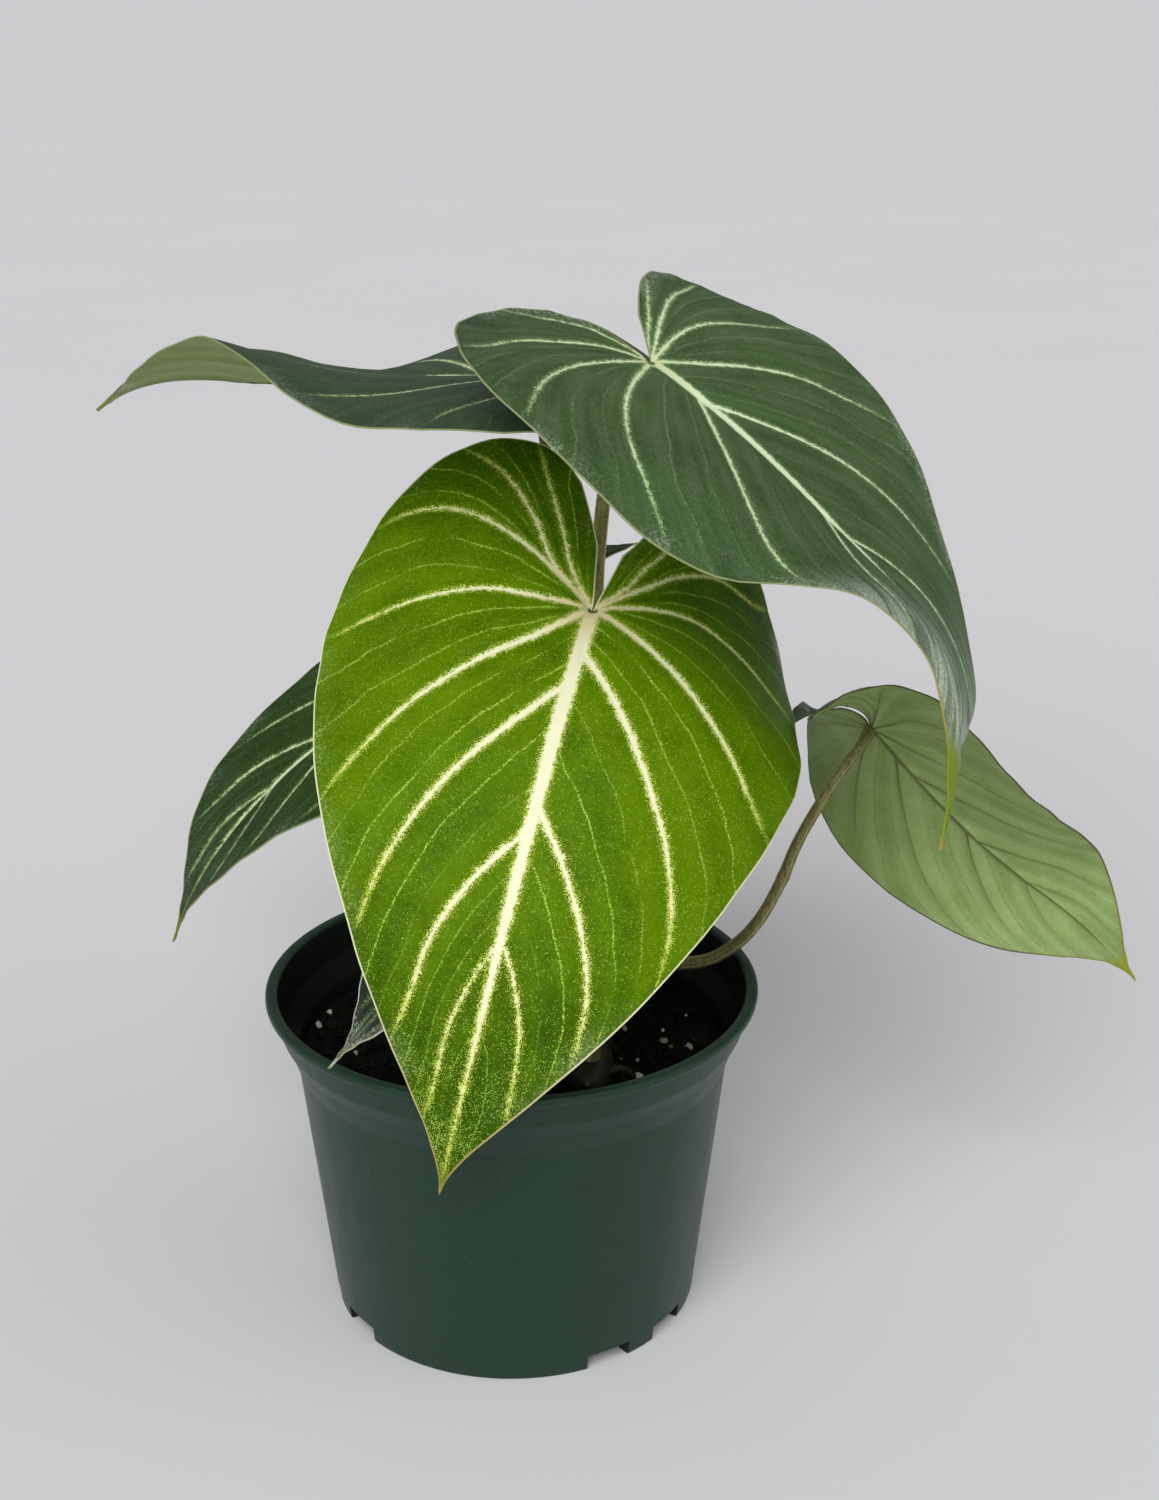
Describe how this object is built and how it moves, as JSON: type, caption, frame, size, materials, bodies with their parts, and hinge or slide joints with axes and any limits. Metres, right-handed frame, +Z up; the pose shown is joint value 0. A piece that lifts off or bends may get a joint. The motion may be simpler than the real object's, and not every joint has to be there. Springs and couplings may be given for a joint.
{
  "type": "potted philodendron gloriosum",
  "caption": "Potted foliage plant with large heart-shaped, pale-veined leaves on long stalks rising from a creeping stem in a tapered nursery pot.",
  "frame": {"origin": "middle of the pot's underside, on the surface that it stands on", "axes": "+Z up; the front of the plant, with its newest leaf, faces -Y; +X to the right seen from the front"},
  "size_m": [0.376, 0.2513, 0.3334],
  "materials": {
    "pot_plastic": "satin moulded plastic, dark green",
    "potting_mix": "damp dark bark and peat mix",
    "stem_skin": "ringed green-brown creeping stem",
    "petiole_skin": "striped olive leaf stalk",
    "young_leaf": "velvety bright green blade with cream veins",
    "grown_leaf": "velvety dark green blade with pale veins"
  },
  "bodies": {
    "root": {"pot": "pot_plastic", "soil": "potting_mix", "creeping_stem": "stem_skin", "front_blade": "young_leaf", "front_petiole": "petiole_skin", "top_blade": "grown_leaf", "top_petiole": "petiole_skin", "far_left_blade": "grown_leaf", "far_left_petiole": "petiole_skin", "left_blade": "grown_leaf", "left_petiole": "petiole_skin", "right_blade": "grown_leaf", "right_petiole": "petiole_skin", "inner_blade": "grown_leaf", "inner_petiole": "petiole_skin"}
  },
  "joints": []
}
